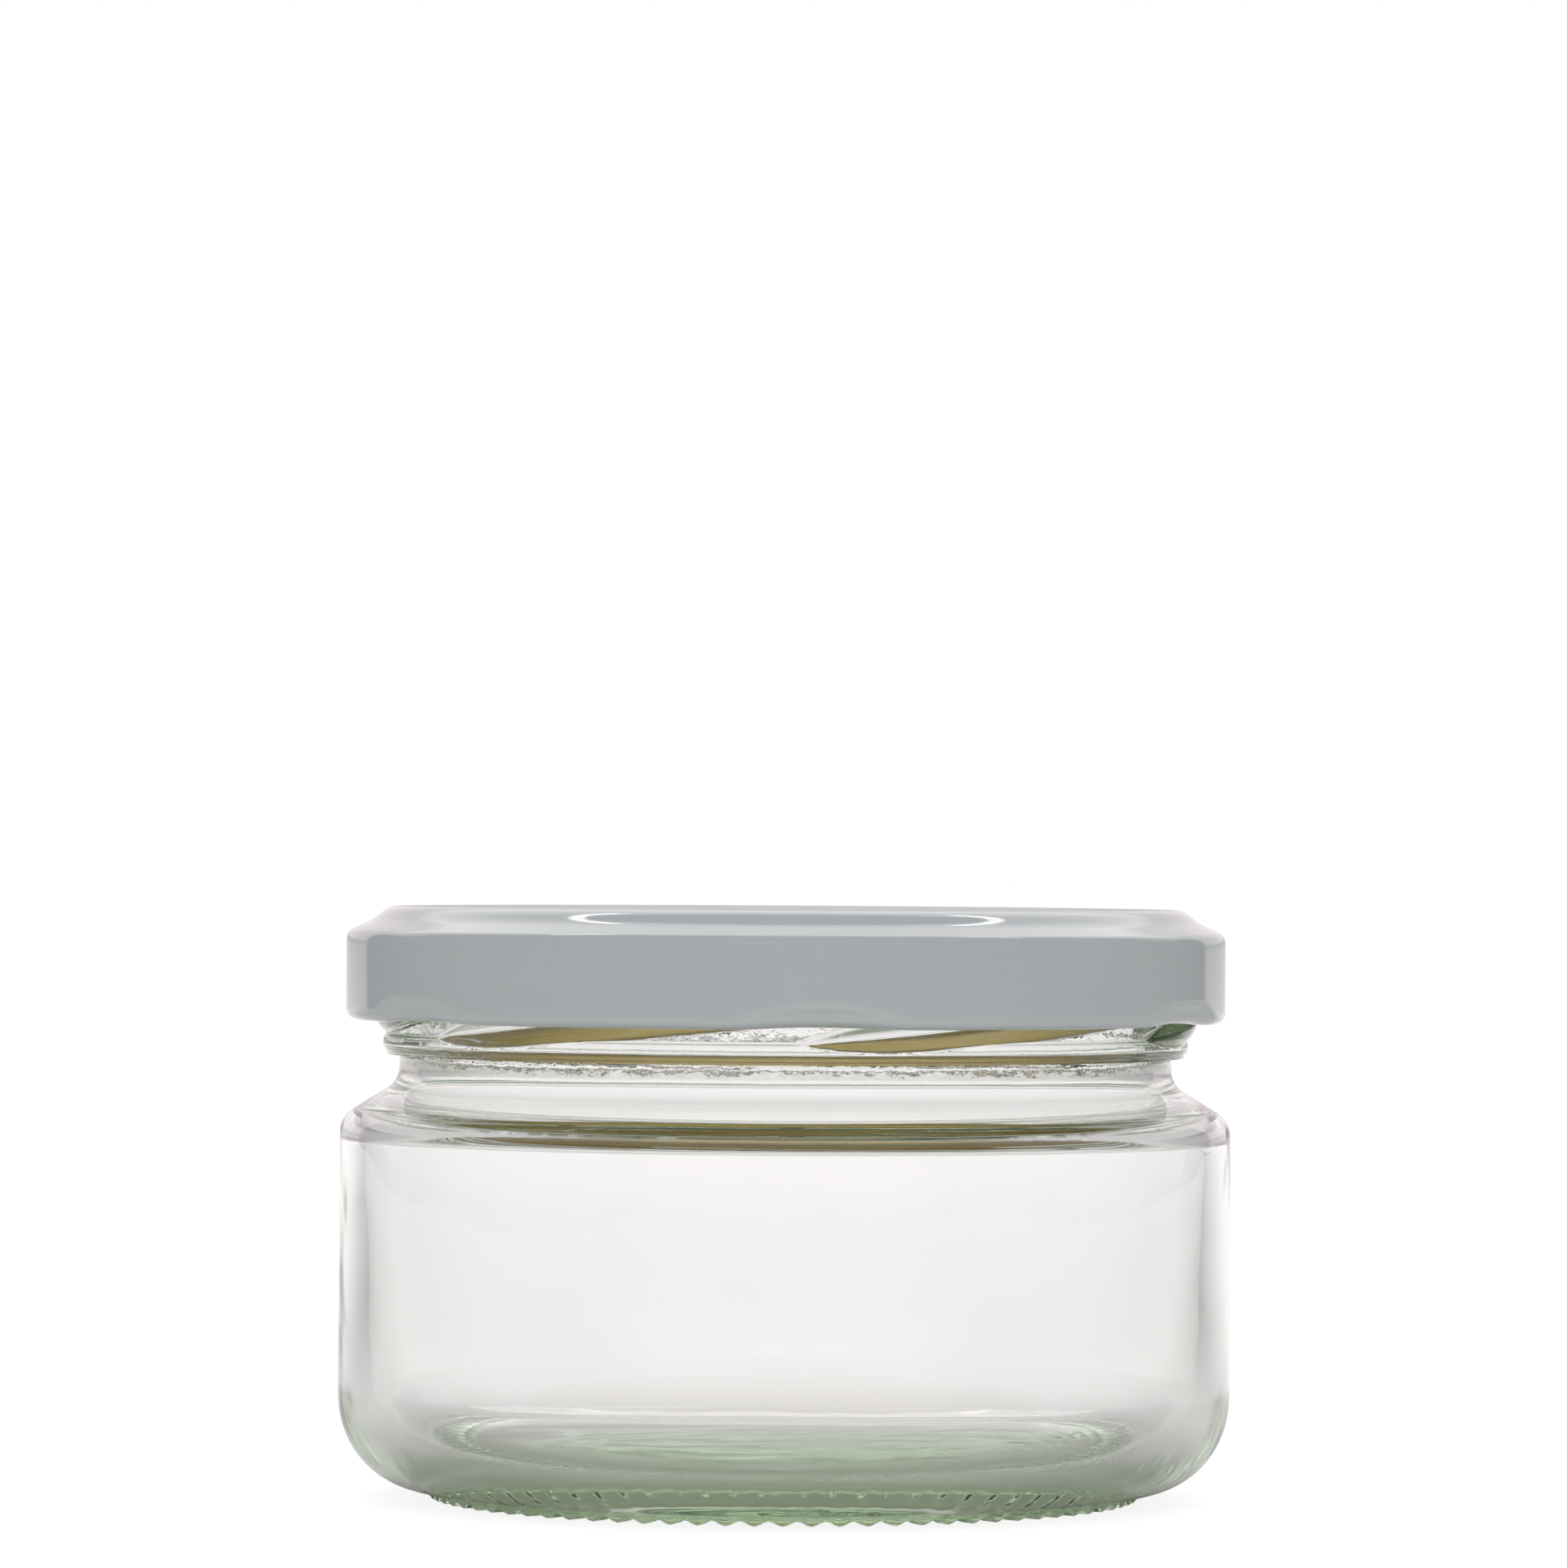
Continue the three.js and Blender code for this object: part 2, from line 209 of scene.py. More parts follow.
outside = (
    curve([
        (0, PUSH_UP),
        (foot_inner * PUSH_UP_SPREAD, PUSH_UP),
        (foot_inner, KNURL_DEPTH + FOOT_ROUND),
        (foot_inner, KNURL_DEPTH),
    ], steps=16)
    + [(foot_inner + FOOT_WIDTH / 2, KNURL_DEPTH)]
    + arc(FOOT_RADIUS - FOOT_ROUND, KNURL_DEPTH + FOOT_ROUND, FOOT_ROUND, -90, 0, steps=5)
    + arc(heel_foot, heel_top, HEEL_WIDTH, -90, 0, steps=20, rise=HEEL_HEIGHT)
    + arc(body_radius - SHOULDER_RADIUS, SIDE_TOP, SHOULDER_RADIUS, 0, shoulder_turn, steps=9)
    + arc(NECK_RADIUS + NECK_FILLET, neck_bottom, NECK_FILLET, 180 + shoulder_turn, 180, steps=9)
    + arc(NECK_RADIUS + BEAD_FILLET, neck_top, BEAD_FILLET, 180, BEAD_FILLET_END, steps=3)
    + arc(NECK_RADIUS, bead_middle, BEAD_RADIUS - NECK_RADIUS, BEAD_START, 0, steps=7, rise=BEAD_HEIGHT / 2)
    + arc(FINISH_RADIUS, bead_middle, BEAD_RADIUS - FINISH_RADIUS, 0, 90, steps=6, rise=BEAD_HEIGHT / 2)[1:]
    + upright(FINISH_RADIUS, bead_top, finish_top, FINISH_ROWS)
    + arc(FINISH_RADIUS - LIP_RADIUS, finish_top, LIP_RADIUS, 0, 90, steps=5)
)
inside = (
    arc(MOUTH_RADIUS + LIP_RADIUS, finish_top, LIP_RADIUS, 90, 180, steps=5)
    + arc(
        MOUTH_RADIUS + INNER_NECK_RADIUS, inner_neck_bottom, INNER_NECK_RADIUS,
        180, 180 + inner_turn, steps=14,
    )
    + arc(corner_radius, corner_height, INNER_SHOULDER_RADIUS, inner_turn, 0, steps=9)
    + curve([
        (inner_heel_radius, FLOOR_EDGE + INNER_HEEL_HEIGHT),
        (inner_heel_radius, FLOOR_EDGE + INNER_HEEL_HEIGHT * (1 - INNER_HEEL_FULLNESS)),
        (floor_radius + INNER_HEEL_WIDTH * INNER_HEEL_FULLNESS, FLOOR_EDGE),
        (floor_radius, FLOOR_EDGE),
    ], steps=20)
    + curve([
        (floor_radius, FLOOR_EDGE),
        (floor_radius / 2, FLOOR_MIDDLE),
        (0, FLOOR_MIDDLE),
    ], steps=14)[1:]
)
glass = turned(outside + inside, RIB_SEGMENTS * KNURL_RIBS)

# Thread ridges, each with a leaf-shaped start low on the wall and a long run up along the thread
RIDGES = 6
RIDGE_TIP = math.radians(-58.4)
RIDGE_TIP_HEIGHT = 0.045
RIDGE_DEPTH = 0.0013
RIDGE_UPPER_FLANK = 0.0012
RIDGE_LOWER_FLANK = 0.002
RIDGE_LEAST_FLANK = 1e-6
RIDGE_SWEEP = math.radians(87.7)
RIDGE_RUN_IN = math.radians(10)
RIDGE_SPREAD = math.radians(20)
RIDGE_RUN_OUT = math.radians(10)
RIDGE_ROUNDNESS = 1.3
thread_lead = frame["record"]["behaviour"]["couplings"][0]["ratio"] * 2 * math.pi


def swell(value):
    """A share that rises quickly from 0 and is full at 1."""
    return math.sin(min(value, 1) * math.pi / 2)


def ridge_reach(angle, height):
    """How far a thread ridge stands out of the threaded wall at an angle from the front and a height."""
    reach = 0
    for index in range(RIDGES):
        along = (angle - RIDGE_TIP - index * 2 * math.pi / RIDGES) % (2 * math.pi)
        if along < RIDGE_SWEEP:
            run_out = smooth_step((RIDGE_SWEEP - along) / RIDGE_RUN_OUT)
            girth = min(swell(along / RIDGE_RUN_IN), run_out)
            middle = RIDGE_TIP_HEIGHT + thread_lead * along / (2 * math.pi)
            if height > middle:
                flank = RIDGE_UPPER_FLANK * girth
            else:
                flank = RIDGE_LOWER_FLANK * min(swell(along / RIDGE_SPREAD), run_out)
            off = (height - middle) / max(flank, RIDGE_LEAST_FLANK)
            if abs(off) < 1:
                reach = max(reach, RIDGE_DEPTH * girth * (1 - off * off) ** RIDGE_ROUNDNESS)
    return reach


for corner in glass.verts:
    radius = math.hypot(corner.co.x, corner.co.y)
    angle = math.atan2(corner.co.x, -corner.co.y)
    height = corner.co.z
    if radius > NECK_RADIUS + BEAD_FILLET and height > neck_top:
        stretch = max(radius, FINISH_RADIUS + ridge_reach(angle, height)) / radius
        corner.co.x *= stretch
        corner.co.y *= stretch
    if height < FOOT_HEIGHT and radius > foot_inner - KNURL_WRAP:
        cover = smooth_step((radius - foot_inner + KNURL_WRAP) / KNURL_WRAP)
        cover *= smooth_step((heel_foot - radius) / KNURL_WRAP)
        corner.co.z -= KNURL_DEPTH * cover * (1 + math.cos(KNURL_RIBS * angle)) / 2

jar = finished("glass_jar_body", glass, "jar", "glass_jar")

# Clear glass with a slow ripple all over, and a fine crackle in the neck and in patches of the heel
GLASS_IOR = 1.52
GLASS_TINT = (0.26, 0.79, 0.14, 1)
GLASS_TINT_DENSITY = 7
RIPPLE_SCALE = 55
CRACKLE_SCALE = 450
CRACKLE_SHARE = 0.35
CRACKLE_FADE = 0.001
HEEL_FADE = 0.004
PATCH_SCALE = 45
PATCH_FROM = 0.55
PATCH_TO = 0.68
UNEVEN_STRENGTH = 0.25
UNEVEN_DEPTH = 0.0004


def new_material(name):
    """A material, its node tree and its shader."""
    material = bpy.data.materials.new(name)
    material.use_nodes = True
    return material, material.node_tree, material.node_tree.nodes["Principled BSDF"]


def places_on(tree):
    """Places on the piece in its own coordinates."""
    return tree.nodes.new("ShaderNodeTexCoord").outputs["Object"]


def axes_of(tree, vector):
    """The X, Y and Z of a vector."""
    split = tree.nodes.new("ShaderNodeSeparateXYZ")
    tree.links.new(vector, split.inputs[0])
    return split.outputs["X"], split.outputs["Y"], split.outputs["Z"]


def noise_on(tree, scale, detail):
    """Noise that lies on the piece in its own coordinates."""
    noise = tree.nodes.new("ShaderNodeTexNoise")
    noise.inputs["Scale"].default_value = scale
    noise.inputs["Detail"].default_value = detail
    tree.links.new(places_on(tree), noise.inputs["Vector"])
    return noise.outputs["Fac"]


def relief(tree, source, shader, strength, depth):
    """Unevenness of a surface, too fine for its mesh."""
    bump = tree.nodes.new("ShaderNodeBump")
    bump.inputs["Strength"].default_value = strength
    bump.inputs["Distance"].default_value = depth
    tree.links.new(source, bump.inputs["Height"])
    tree.links.new(bump.outputs["Normal"], shader.inputs["Normal"])


def ramp(tree, source, start, end):
    """A smooth share of the way from one value to another."""
    share = tree.nodes.new("ShaderNodeMapRange")
    share.interpolation_type = "SMOOTHSTEP"
    share.inputs["From Min"].default_value = start
    share.inputs["From Max"].default_value = end
    tree.links.new(source, share.inputs["Value"])
    return share.outputs["Result"]


def reckon(tree, operation, *sources):
    """A sum on values that are numbers or the outputs of other nodes."""
    node = tree.nodes.new("ShaderNodeMath")
    node.operation = operation
    for socket, source in zip(node.inputs, sources):
        if isinstance(source, (int, float)):
            socket.default_value = source
        else:
            tree.links.new(source, socket)
    return node.outputs[0]


clear_glass, tree, shader = new_material("clear_glass")
shader.inputs["Base Color"].default_value = (1, 1, 1, 1)
shader.inputs["Roughness"].default_value = 0
shader.inputs["IOR"].default_value = GLASS_IOR
shader.inputs["Transmission Weight"].default_value = 1
ripple = noise_on(tree, RIPPLE_SCALE, detail=2)
crackle = noise_on(tree, CRACKLE_SCALE, detail=3)
patches = noise_on(tree, PATCH_SCALE, detail=1)
glass_height = axes_of(tree, places_on(tree))[2]
in_neck = reckon(
    tree, "MULTIPLY",
    ramp(tree, glass_height, neck_bottom - CRACKLE_FADE, neck_bottom + CRACKLE_FADE),
    ramp(tree, glass_height, rim_height, finish_top - CRACKLE_FADE),
)
in_heel = reckon(
    tree, "MULTIPLY",
    ramp(tree, glass_height, heel_top, heel_top - HEEL_FADE),
    ramp(tree, patches, PATCH_FROM, PATCH_TO),
)
crackled = reckon(tree, "MULTIPLY", reckon(tree, "MAXIMUM", in_neck, in_heel), CRACKLE_SHARE)
uneven = reckon(tree, "ADD", ripple, reckon(tree, "MULTIPLY", crackled, crackle))
relief(tree, uneven, shader, UNEVEN_STRENGTH, UNEVEN_DEPTH)
absorption = tree.nodes.new("ShaderNodeVolumeAbsorption")
absorption.inputs["Color"].default_value = GLASS_TINT
absorption.inputs["Density"].default_value = GLASS_TINT_DENSITY
tree.links.new(absorption.outputs["Volume"], tree.nodes["Material Output"].inputs["Volume"])
jar.data.materials.append(clear_glass)

# Sealing ring
# A soft plastisol gasket, flowed as a liquid into the groove under the lid's panel and cured there. It is
# bonded to the lid and presses on the jar's rim.
seal_low, seal_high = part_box("sealing_ring")
SEAL_INNER = 0.0355
SEAL_ROUND = 0.0004
SEAL_SEGMENTS = 192
outer_middle = seal_high.x - SEAL_ROUND
inner_middle = SEAL_INNER + SEAL_ROUND
lower_middle = seal_low.z + SEAL_ROUND
upper_middle = seal_high.z - SEAL_ROUND
seal_outline = (
    arc(outer_middle, lower_middle, SEAL_ROUND, -90, 0, steps=5)
    + arc(outer_middle, upper_middle, SEAL_ROUND, 0, 90, steps=5)
    + arc(inner_middle, upper_middle, SEAL_ROUND, 90, 180, steps=5)
    + arc(inner_middle, lower_middle, SEAL_ROUND, 180, 270, steps=5)
)
seal_shape = turned(seal_outline + seal_outline[:1], SEAL_SEGMENTS)
ring = finished("sealing_ring_soft", seal_shape, "seal", "sealing_ring")

# Cream plastisol, satin, with the soft waves of its flow
SEAL_COLOUR = (0.72, 0.68, 0.56, 1)
SEAL_SHADE = (0.66, 0.61, 0.48, 1)
SEAL_ROUGHNESS = 0.5
FLOW_SCALE = 180
FLOW_STRENGTH = 0.3
FLOW_DEPTH = 0.0001
MIX_FIRST = 6
MIX_SECOND = 7
MIX_RESULT = 2


def mixed(tree, share, first, second):
    """A blend of two colours, each of them a value or the output of another node."""
    blend = tree.nodes.new("ShaderNodeMix")
    blend.data_type = "RGBA"
    tree.links.new(share, blend.inputs[0])
    for socket, colour in ((blend.inputs[MIX_FIRST], first), (blend.inputs[MIX_SECOND], second)):
        if isinstance(colour, tuple):
            socket.default_value = colour
        else:
            tree.links.new(colour, socket)
    return blend.outputs[MIX_RESULT]


plastisol, tree, shader = new_material("plastisol")
shader.inputs["Roughness"].default_value = SEAL_ROUGHNESS
flow = noise_on(tree, FLOW_SCALE, detail=3)
tree.links.new(mixed(tree, flow, SEAL_SHADE, SEAL_COLOUR), shader.inputs["Base Color"])
relief(tree, flow, shader, FLOW_STRENGTH, FLOW_DEPTH)
ring.data.materials.append(plastisol)

# Lid
# Pressed from lacquered tinplate: a raised flat panel, a stepped shoulder and an upright skirt, whose edge is
# rolled in to a curl. Six lengths of the curl are pressed inwards to make the lugs that run under the ridges.
lid_low, lid_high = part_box("lid_shell")
SHEET = 0.00025
PANEL_RADIUS = 0.038
PANEL_RINGS = 8
PANEL_EDGE = 0.0012
PANEL_RISE = 0.00155
SLOPE_WIDTH = 0.0028
SLOPE_FOOT = 0.0012
LID_SHOULDER_FALL = math.tan(math.radians(24))
LID_SHOULDER_WIDTH = 0.00145
LID_CORNER_DROP = 0.00113
LID_CORNER_LEAN = 0.00004
SKIRT_ROWS = 16
CURL_RADIUS = 0.00095
CURL_SWEEP = 234
LID_SEGMENTS = 360
lid_radius = lid_high.x
panel_top = lid_high.z
curl_height = lid_low.z + CURL_RADIUS
slope_end = (PANEL_RADIUS + SLOPE_WIDTH, panel_top - PANEL_RISE)
corner_start = (slope_end[0] + LID_SHOULDER_WIDTH, slope_end[1] - LID_SHOULDER_WIDTH * LID_SHOULDER_FALL)
corner_reach = lid_radius - LID_CORNER_LEAN
skirt_top = corner_start[1] - LID_CORNER_DROP
lid_outline = (
    [(PANEL_RADIUS * step / PANEL_RINGS, panel_top) for step in range(PANEL_RINGS)]
    + curve([
        (PANEL_RADIUS, panel_top),
        (PANEL_RADIUS + PANEL_EDGE, panel_top),
        (slope_end[0] - SLOPE_FOOT, slope_end[1] + SLOPE_FOOT * LID_SHOULDER_FALL),
        slope_end,
    ], steps=20)
    + curve([
        corner_start,
        (corner_reach, corner_start[1] - (corner_reach - corner_start[0]) * LID_SHOULDER_FALL),
        (lid_radius, skirt_top),
    ], steps=12)
    + upright(lid_radius, skirt_top, curl_height, SKIRT_ROWS)
    + arc(lid_radius - CURL_RADIUS, curl_height, CURL_RADIUS, 0, -CURL_SWEEP, steps=20)
)
lid_shape = turned(lid_outline, LID_SEGMENTS)

# Lugs, under domed dents in the skirt
LUG_MIDDLE = math.radians(4.6)
LUG_HALF_WIDTH = math.radians(12)
LUG_FLATNESS = 1.15
LUG_REACH = 0.00165
LUG_DENT = 0.0005
LUG_DENT_TOP = 0.0487
LUG_CRISPNESS = 1.4
LUG_LIFT = 0.0002
LUG_BAND = 3 * CURL_RADIUS
lug_spacing = 2 * math.pi / RIDGES
dent_height = LUG_DENT_TOP - lid_low.z
for corner in lid_shape.verts:
    radius = math.hypot(corner.co.x, corner.co.y)
    height = corner.co.z
    if height < LUG_DENT_TOP and radius > lid_radius - LUG_BAND:
        angle = math.atan2(corner.co.x, -corner.co.y) - LUG_MIDDLE
        off = abs((angle + lug_spacing / 2) % lug_spacing - lug_spacing / 2) / LUG_HALF_WIDTH
        press = smooth_step(LUG_FLATNESS * (1 - off))
        dome = lid_low.z + dent_height * math.sqrt(max(0, 1 - off ** 2))
        drop = smooth_step(LUG_CRISPNESS * (dome - height) / (LUG_DENT_TOP - curl_height))
        inward = (lid_radius - radius) / (2 * CURL_RADIUS)
        push = (LUG_DENT + (LUG_REACH - LUG_DENT) * inward) * press * drop
        corner.co.x *= 1 - push / radius
        corner.co.y *= 1 - push / radius
        corner.co.z += LUG_LIFT * press * max(0, 1 - (height - lid_low.z) / dent_height)

lid = finished("lid_pressed", lid_shape, "lid", "lid_shell")
wall = lid.modifiers.new("sheet", "SOLIDIFY")
wall.thickness = SHEET
wall.offset = -1
wall.use_even_offset = True
wall.material_offset = 1

# Pale grey gloss lacquer outside, with the faint orange peel of a sprayed coat
LACQUER = (0.425, 0.465, 0.467, 1)
LACQUER_SHADE = (0.405, 0.445, 0.45, 1)
LACQUER_IOR = 1.55
LACQUER_ROUGHNESS = 0.05
LACQUER_CLOUD_SCALE = 60
PEEL_SCALE = 900
PEEL_STRENGTH = 0.1
PEEL_DEPTH = 0.00002
lid_lacquer, tree, shader = new_material("lid_lacquer")
shader.inputs["Roughness"].default_value = LACQUER_ROUGHNESS
shader.inputs["IOR"].default_value = LACQUER_IOR
cloud = noise_on(tree, LACQUER_CLOUD_SCALE, detail=3)
tree.links.new(mixed(tree, cloud, LACQUER_SHADE, LACQUER), shader.inputs["Base Color"])
relief(tree, noise_on(tree, PEEL_SCALE, detail=2), shader, PEEL_STRENGTH, PEEL_DEPTH)
lid.data.materials.append(lid_lacquer)

# Gold lacquer on the inner face of the sheet
GOLD = (0.95, 0.73, 0.22, 1)
GOLD_SHADE = (0.88, 0.66, 0.18, 1)
GOLD_METALLIC = 0.3
GOLD_ROUGHNESS = 0.4
GOLD_CLOUD_SCALE = 90
gold_lacquer, tree, shader = new_material("gold_lacquer")
shader.inputs["Metallic"].default_value = GOLD_METALLIC
shader.inputs["Roughness"].default_value = GOLD_ROUGHNESS
cloud = noise_on(tree, GOLD_CLOUD_SCALE, detail=3)
tree.links.new(mixed(tree, cloud, GOLD_SHADE, GOLD), shader.inputs["Base Color"])
lid.data.materials.append(gold_lacquer)

# Table
# A plain white table top that runs far past the jar and meets the white background. It takes the jar's
# shadow. Glass and lacquer show it greyer to the sides and in front, where the light falls off.
FLOOR_HALF = 1.2
FLOOR_GAP = 0.00002
table_shape = bmesh.new()
bmesh.ops.create_grid(table_shape, x_segments=1, y_segments=1, size=FLOOR_HALF)
bmesh.ops.translate(table_shape, verts=table_shape.verts[:], vec=(0, 0, -FLOOR_GAP))
table_mesh = bpy.data.meshes.new("table")
table_shape.to_mesh(table_mesh)
table_shape.free()
table = bpy.data.objects.new("table", table_mesh)
bpy.context.scene.collection.objects.link(table)
TABLE_COLOUR = (0.92, 0.898, 0.907, 1)
TABLE_NEAR_SIDE = (0.72, 0.7, 0.71, 1)
TABLE_FAR_SIDE = (0.42, 0.41, 0.415, 1)
TABLE_SEEN_COLOUR = (0.3, 0.3, 0.3, 1)
TABLE_SEEN_GLOW = (0.85, 0.85, 0.85, 1)
TABLE_UNDER_GLOW = (0.08, 0.13, 0.068, 1)
NO_GLOW = (0, 0, 0, 1)
SIDE_NEAR = 0.06
SIDE_FAR = 0.3
SWEEP_FULL = 0.35
SWEEP_END = 0.8
SWEEP_FRONT = 0.1
SWEEP_FRONT_END = 0.5
UNDER_FULL = 0.03
UNDER_END = 0.05


def ray_kinds(tree):
    """Whether a ray comes from the camera, off a glossy surface or through glass."""
    rays = tree.nodes.new("ShaderNodeLightPath").outputs
    return rays["Is Camera Ray"], rays["Is Glossy Ray"], rays["Is Transmission Ray"]


table_white, tree, shader = new_material("table_white")
shader.inputs["Roughness"].default_value = 1
shader.inputs["Specular IOR Level"].default_value = 0
shader.inputs["Emission Strength"].default_value = 1
seen, in_gloss, in_glass = ray_kinds(tree)
place = places_on(tree)
across, away, _ = axes_of(tree, place)
from_axis = tree.nodes.new("ShaderNodeVectorMath")
from_axis.operation = "LENGTH"
tree.links.new(place, from_axis.inputs[0])
distance = from_axis.outputs["Value"]
aside = reckon(tree, "DIVIDE", reckon(tree, "ABSOLUTE", across), distance)
off_sweep = reckon(
    tree, "MAXIMUM",
    ramp(tree, aside, SWEEP_FULL, SWEEP_END),
    ramp(tree, reckon(tree, "MULTIPLY", away, -1), SWEEP_FRONT, SWEEP_FRONT_END),
)
greyed = reckon(tree, "MULTIPLY", reckon(tree, "MAXIMUM", in_gloss, in_glass), off_sweep)
side_colour = mixed(tree, ramp(tree, distance, SIDE_NEAR, SIDE_FAR), TABLE_NEAR_SIDE, TABLE_FAR_SIDE)
table_colour = mixed(tree, greyed, TABLE_COLOUR, side_colour)
tree.links.new(mixed(tree, seen, table_colour, TABLE_SEEN_COLOUR), shader.inputs["Base Color"])

# A faint green glow under the foot, seen only through the glass, stands for light that the base throws there
under = reckon(tree, "MULTIPLY", ramp(tree, distance, UNDER_END, UNDER_FULL), in_glass)
glow = mixed(tree, under, NO_GLOW, TABLE_UNDER_GLOW)
tree.links.new(mixed(tree, seen, glow, TABLE_SEEN_GLOW), shader.inputs["Emission Color"])
table.data.materials.append(table_white)

# Studio light
# A white room, with a darker ceiling and sides that glass and lacquer pick up, two strip lights high on the
# left and the right, and a wide softbox high behind the jar.
WHITE = (1, 1, 1, 1)
CEILING = (0.16, 0.16, 0.2, 1)
world = bpy.data.worlds.new("studio")
bpy.context.scene.world = world
world.use_nodes = True
tree = world.node_tree
seen, in_gloss, in_glass = ray_kinds(tree)
across, away, up = axes_of(tree, tree.nodes.new("ShaderNodeTexCoord").outputs["Generated"])
level = tree.nodes.new("ShaderNodeCombineXYZ")
tree.links.new(across, level.inputs["X"])
tree.links.new(away, level.inputs["Y"])
heading = tree.nodes.new("ShaderNodeVectorMath")
heading.operation = "NORMALIZE"
tree.links.new(level.outputs[0], heading.inputs[0])
heading_across, heading_away, _ = axes_of(tree, heading.outputs[0])

# Through the glass: a pale backdrop that greys upwards and outwards, grey sides and a dark ceiling
BACKDROP = (1, 0.967, 0.97, 1)
BACKDROP_UPPER = (0.62, 0.6, 0.6, 1)
BACKDROP_UPPER_SIDE = (0.5, 0.465, 0.48, 1)
GREY_SIDE = (0.6, 0.58, 0.58, 1)
UPPER_FROM = 0
UPPER_TO = 0.12
UPPER_SIDE_FROM = 0.08
UPPER_SIDE_TO = 0.2
SIDE_FROM = 0.85
SIDE_FULL = 0.55
CEILING_FROM = 0.5
CEILING_TO = 0.75
off_middle = ramp(tree, reckon(tree, "ABSOLUTE", heading_across), UPPER_SIDE_FROM, UPPER_SIDE_TO)
upper = mixed(tree, off_middle, BACKDROP_UPPER, BACKDROP_UPPER_SIDE)
seen_behind = mixed(tree, ramp(tree, up, UPPER_FROM, UPPER_TO), BACKDROP, upper)
all_round = mixed(tree, ramp(tree, heading_away, SIDE_FULL, SIDE_FROM), GREY_SIDE, seen_behind)
through_glass = mixed(tree, ramp(tree, up, CEILING_FROM, CEILING_TO), all_round, CEILING)

# In gloss: a backdrop with a greyer foot and a bright panel high up, dark sides and a dark patch of ceiling
BACKDROP_GLOSS = (1.03, 0.92, 0.96, 1)
BACKDROP_FOOT = (0.6, 0.58, 0.59, 1)
DARK_SIDE = (0.12, 0.12, 0.14, 1)
PANEL_LIGHT = (1.8, 1.675, 1.735, 1)
BACKDROP_FOOT_MIDDLE = 0.015
BACKDROP_FOOT_FULL = 0.008
BACKDROP_FOOT_END = 0.05
BACKDROP_EDGE = math.cos(math.radians(40))
BACKDROP_FULL = math.cos(math.radians(36))
HIGH_FROM = 0.3
HIGH_TO = 0.4
HIGH_EDGE = math.cos(math.radians(60))
HIGH_FULL = math.cos(math.radians(50))
PANEL_LIGHT_FROM = 0.4
PANEL_LIGHT_TO = 0.5
PANEL_LIGHT_EDGE = math.cos(math.radians(45))
PANEL_LIGHT_FULL = math.cos(math.radians(25))
CEILING_LIFT = 0.1
CEILING_ASIDE = 0.9
CEILING_BACK = 0.44
CEILING_SOFTNESS = 0.015
off_foot = reckon(tree, "ABSOLUTE", reckon(tree, "SUBTRACT", up, BACKDROP_FOOT_MIDDLE))
above_foot = ramp(tree, off_foot, BACKDROP_FOOT_FULL, BACKDROP_FOOT_END)
in_panel = reckon(
    tree, "MULTIPLY",
    ramp(tree, up, PANEL_LIGHT_FROM, PANEL_LIGHT_TO),
    ramp(tree, heading_away, PANEL_LIGHT_EDGE, PANEL_LIGHT_FULL),
)
backdrop = mixed(tree, in_panel, mixed(tree, above_foot, BACKDROP_FOOT, BACKDROP_GLOSS), PANEL_LIGHT)
behind_high = reckon(
    tree, "MULTIPLY",
    ramp(tree, up, HIGH_FROM, HIGH_TO),
    ramp(tree, heading_away, HIGH_EDGE, HIGH_FULL),
)
behind = reckon(tree, "MAXIMUM", ramp(tree, heading_away, BACKDROP_EDGE, BACKDROP_FULL), behind_high)
lift = reckon(tree, "MAXIMUM", up, CEILING_LIFT)
aside = reckon(tree, "DIVIDE", reckon(tree, "ABSOLUTE", across), lift)
back = reckon(tree, "DIVIDE", away, lift)
open_ceiling = reckon(
    tree, "MAXIMUM",
    ramp(tree, aside, CEILING_ASIDE - CEILING_SOFTNESS, CEILING_ASIDE + CEILING_SOFTNESS),
    ramp(tree, back, CEILING_BACK - CEILING_SOFTNESS, CEILING_BACK + CEILING_SOFTNESS),
)
on_gloss = mixed(tree, open_ceiling, CEILING, mixed(tree, behind, DARK_SIDE, backdrop))

# On everything else: a soft fill, stronger from the front. The camera sees plain white.
FILL_FRONT = (1.03, 1.03, 1.03, 1)
FILL_BACK = (0.25, 0.25, 0.25, 1)
FILL_TURN = 0.7
fill = mixed(tree, ramp(tree, away, -FILL_TURN, FILL_TURN), FILL_FRONT, FILL_BACK)
light = mixed(tree, in_glass, mixed(tree, in_gloss, fill, on_gloss), through_glass)
tree.links.new(mixed(tree, seen, light, WHITE), tree.nodes["Background"].inputs["Color"])

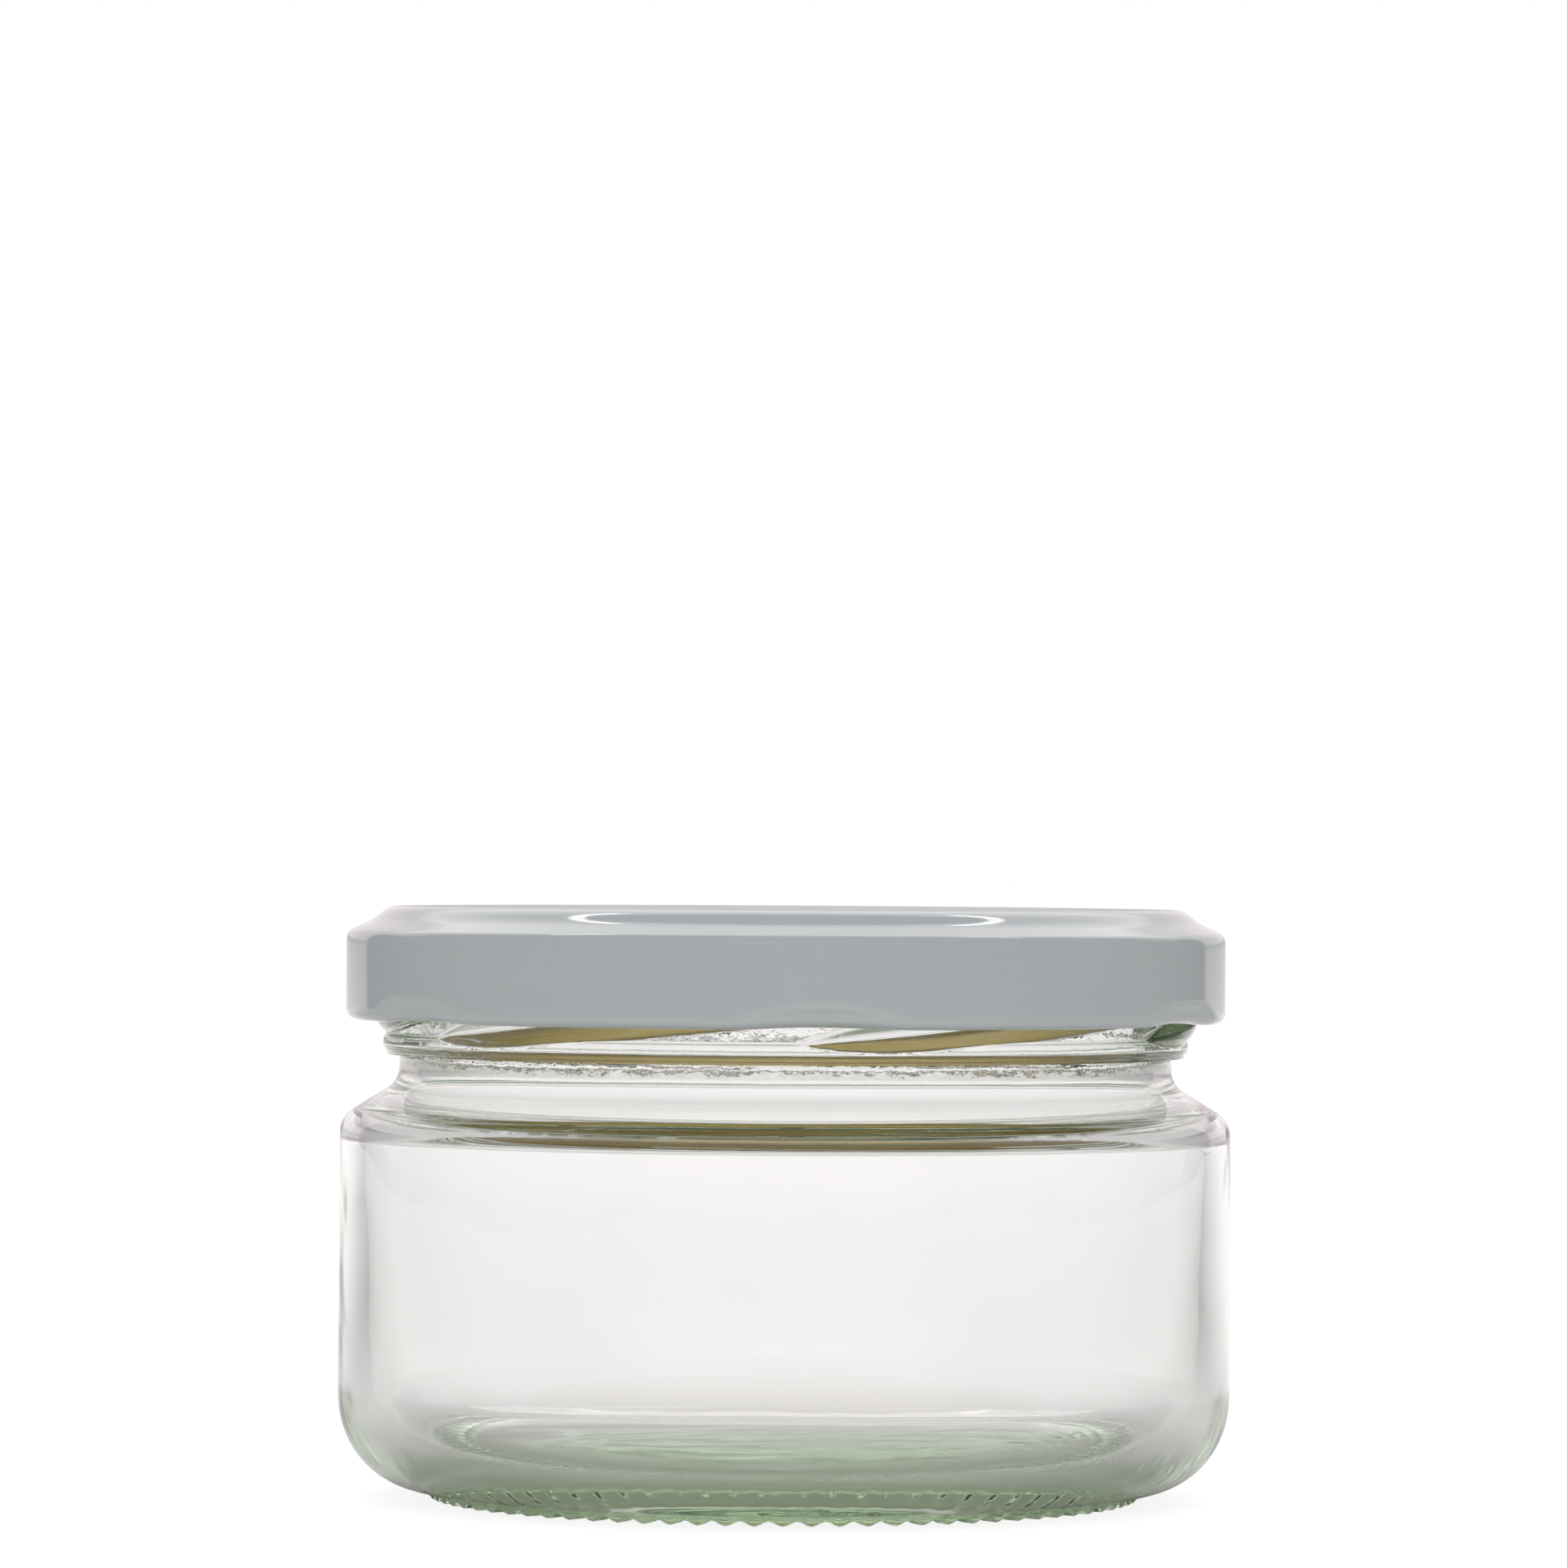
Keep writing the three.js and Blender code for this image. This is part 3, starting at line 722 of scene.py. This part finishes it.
LAMP_COLOUR = (1, 0.955, 0.965)
STRIP_ASIDE = 0.97
STRIP_BEHIND = 1.2
STRIP_HEIGHT = 2.5
STRIP_LENGTH = 0.7
STRIP_WIDTH = 0.13
STRIP_POWER = 1.8
BACK_BOX_BEHIND = 1.76
BACK_BOX_HEIGHT = 2.43
BACK_BOX_WIDTH = 4.2
BACK_BOX_DEPTH = 1.25
BACK_BOX_POWER = 51


def softbox(place, width, depth, power):
    """A square-edged lamp that faces the jar from a place in the room."""
    lamp = bpy.data.lights.new("softbox", "AREA")
    lamp.shape = "RECTANGLE"
    lamp.size = width
    lamp.size_y = depth
    lamp.energy = power
    lamp.color = LAMP_COLOUR
    box = bpy.data.objects.new("softbox", lamp)
    bpy.context.scene.collection.objects.link(box)
    aim = Matrix.Translation(place)
    box.matrix_world = aim @ aim.translation.to_track_quat("Z", "Y").to_matrix().to_4x4()
    return box


for side in (-STRIP_ASIDE, STRIP_ASIDE):
    softbox((side, STRIP_BEHIND, STRIP_HEIGHT), STRIP_LENGTH, STRIP_WIDTH, STRIP_POWER)
back_box = softbox((0, BACK_BOX_BEHIND, BACK_BOX_HEIGHT), BACK_BOX_WIDTH, BACK_BOX_DEPTH, BACK_BOX_POWER)
back_box.visible_glossy = False

# Camera
# A long lens a little above the lid's height, so that the panel is almost edge-on and the base is seen from
# just above. Light may cross many walls of glass before it is given up.
CAMERA_AWAY = 0.77
CAMERA_HEIGHT = 0.063
CAMERA_SIDE = -0.00035
CAMERA_PITCH = math.radians(0.496)
CAMERA_ROLL = math.radians(0.338)
LENS = 180.9
SENSOR = 36
GLASS_BOUNCES = 40
GLOSS_BOUNCES = 24
camera_data = bpy.data.cameras.new("camera")
camera_data.sensor_fit = "HORIZONTAL"
camera_data.sensor_width = SENSOR
camera_data.lens = LENS
camera = bpy.data.objects.new("camera", camera_data)
bpy.context.scene.collection.objects.link(camera)
camera.matrix_world = (
    Matrix.Translation((CAMERA_SIDE, -CAMERA_AWAY, CAMERA_HEIGHT))
    @ Matrix.Rotation(math.pi / 2 + CAMERA_PITCH, 4, "X")
    @ Matrix.Rotation(CAMERA_ROLL, 4, "Z")
)
scene = bpy.context.scene
scene.camera = camera
scene.view_settings.view_transform = "Standard"
scene.cycles.max_bounces = GLASS_BOUNCES
scene.cycles.transmission_bounces = GLASS_BOUNCES
scene.cycles.glossy_bounces = GLOSS_BOUNCES
